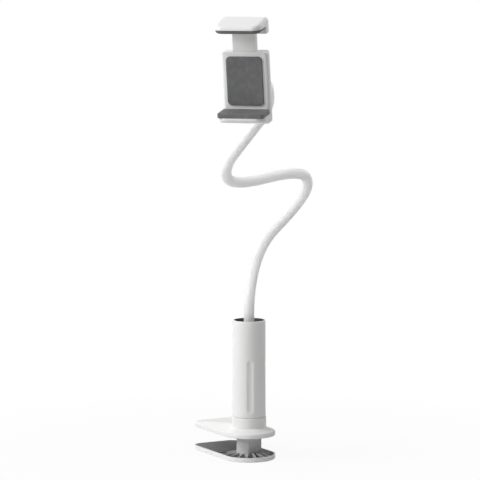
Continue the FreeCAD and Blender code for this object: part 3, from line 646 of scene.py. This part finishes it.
def fit_pad(obj, place, body, node):
    obj.matrix_world = place
    settle(obj)
    smooth(obj, 40)
    obj.data.materials.append(grey_silicone)
    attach(obj, body)
    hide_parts(node)
    print(obj.name, triangles(obj), "triangles")


FLIP = Matrix.Rotation(math.pi, 4, "X")


def raised(height):
    return Matrix.Translation((0, 0, height * MM))


jaw_turn = Matrix.Rotation(-JAW_TURN, 4, "Z")
for name, place, body, node in (
    ("lower_jaw_cast_pad", jaw_turn @ raised(2.9), "base", "lower_jaw_pad"),
    ("upper_jaw_cast_pad", jaw_turn @ raised(25.1) @ FLIP, "upper_jaw", "upper_jaw_pad"),
):
    front = [(-73.05, -24.55), (-22.15, 24.55), 9.55, lambda at: at.x < -0.05]
    fit_pad(cast_pad(name, *front, thick=2.0, rim=0.4, dish=0.12), place, body, node)

# %% Clip pads
CLIP_FRONT = -25.5
low_plan = [(-21.6, -47.6), (21.6, CLIP_FRONT), 2.5, lambda at: at.y < -0.04]
low_pad = cast_pad("lower_grip_cast_pad", *low_plan, thick=4.2, rim=0.6, dish=0.15)
fit_pad(low_pad, clip_frame @ raised(-27.7), "clip", "lower_grip_pad")
high_plan = [(-21.2, -CLIP_FRONT), (21.2, 47.2), 8.0, lambda at: at.y > 0.04]
high_pad = cast_pad("upper_grip_cast_pad", *high_plan, thick=3.5, rim=2.6, dish=0.15)
fit_pad(high_pad, clip_frame @ raised(52.5) @ FLIP, "upper_grip", "upper_grip_pad")
back_plan = [(-17, -20), (17, 24.8), 4.0, lambda at: True]
back_pad = cast_pad("clip_back_cast_pad", *back_plan, thick=1.5, rim=0.5, dish=0.1)
upright = Matrix.Translation((0, CLIP_FRONT * MM, 0)) @ Matrix.Rotation(math.radians(90), 4, "X")
fit_pad(back_pad, clip_frame @ upright, "clip", "clip_back_pad")

# %% [markdown]
# ## Springs
# Two long springs inside the clip pull the upper grip down. Each is one wire wound in a helix.
# The Screw modifier winds a small circle, the wire's section, round the axis and along it at the same time.

# %% Springs
SPRING_LOW = -23.0
SPRING_HIGH = 2.8
SPRING_TURNS = 14
SPRING_X = 15.5
SPRING_Y = -20.4
COIL_RADIUS = 2.1
WIRE = 0.3


def wound_spring(name, x, node):
    pitch = (SPRING_HIGH - SPRING_LOW - 2 * WIRE) / SPRING_TURNS
    deselect()
    bpy.ops.mesh.primitive_circle_add(
        vertices=10, radius=WIRE * MM, location=(COIL_RADIUS * MM, 0, 0), rotation=(math.pi / 2, 0, 0)
    )
    obj = bpy.context.object
    obj.name = name
    settle(obj)
    modify(
        obj, "SCREW", axis="Z", angle=2 * math.pi, screw_offset=pitch * MM, iterations=SPRING_TURNS,
        steps=20, render_steps=20, use_normal_calculate=True,
    )
    edit(obj)
    pick(obj, "EDGE", lambda edge: edge.is_boundary)
    bpy.ops.mesh.edge_face_add()
    bpy.ops.mesh.select_all(action="SELECT")
    bpy.ops.mesh.normals_make_consistent(inside=False)
    deselect()
    obj.matrix_world = clip_frame @ Matrix.Translation((x * MM, SPRING_Y * MM, (SPRING_LOW + WIRE) * MM))
    settle(obj)
    smooth(obj, 60)
    obj.data.materials.append(steel)
    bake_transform(obj)
    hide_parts(node)
    return obj


left_spring = wound_spring("left_coil_spring", -SPRING_X, "grip_spring_left")
right_spring = wound_spring("right_coil_spring", SPRING_X, "grip_spring_right")
print("springs", triangles(left_spring), triangles(right_spring), "triangles")

# %% [markdown]
# ## Finishes for the pieces that stay
# Pieces whose solid is already the real shape keep it, and only get their finish.

# %% Finishes on the frame's own pieces
FINISHES = {
    "white_plastic": moulded_white,
    "white_sheath": soft_sheath,
    "grey_silicone": grey_silicone,
    "steel": steel,
    "aluminium": aluminium,
    "chromed_steel": chrome,
}
for subpart in frame["record"]["subparts"]:
    node = nodes[subpart["node"]]
    node.data.materials.clear()
    node.data.materials.append(FINISHES[subpart["material_slot"]])
# The tray and the stem get their white plastics with painted shade.
nodes["lower_jaw"].data.materials[0] = tray_white_painted_shade
nodes["clamp_stem"].data.materials[0] = stem_white_painted_shade
print("finishes on", len(nodes), "nodes")
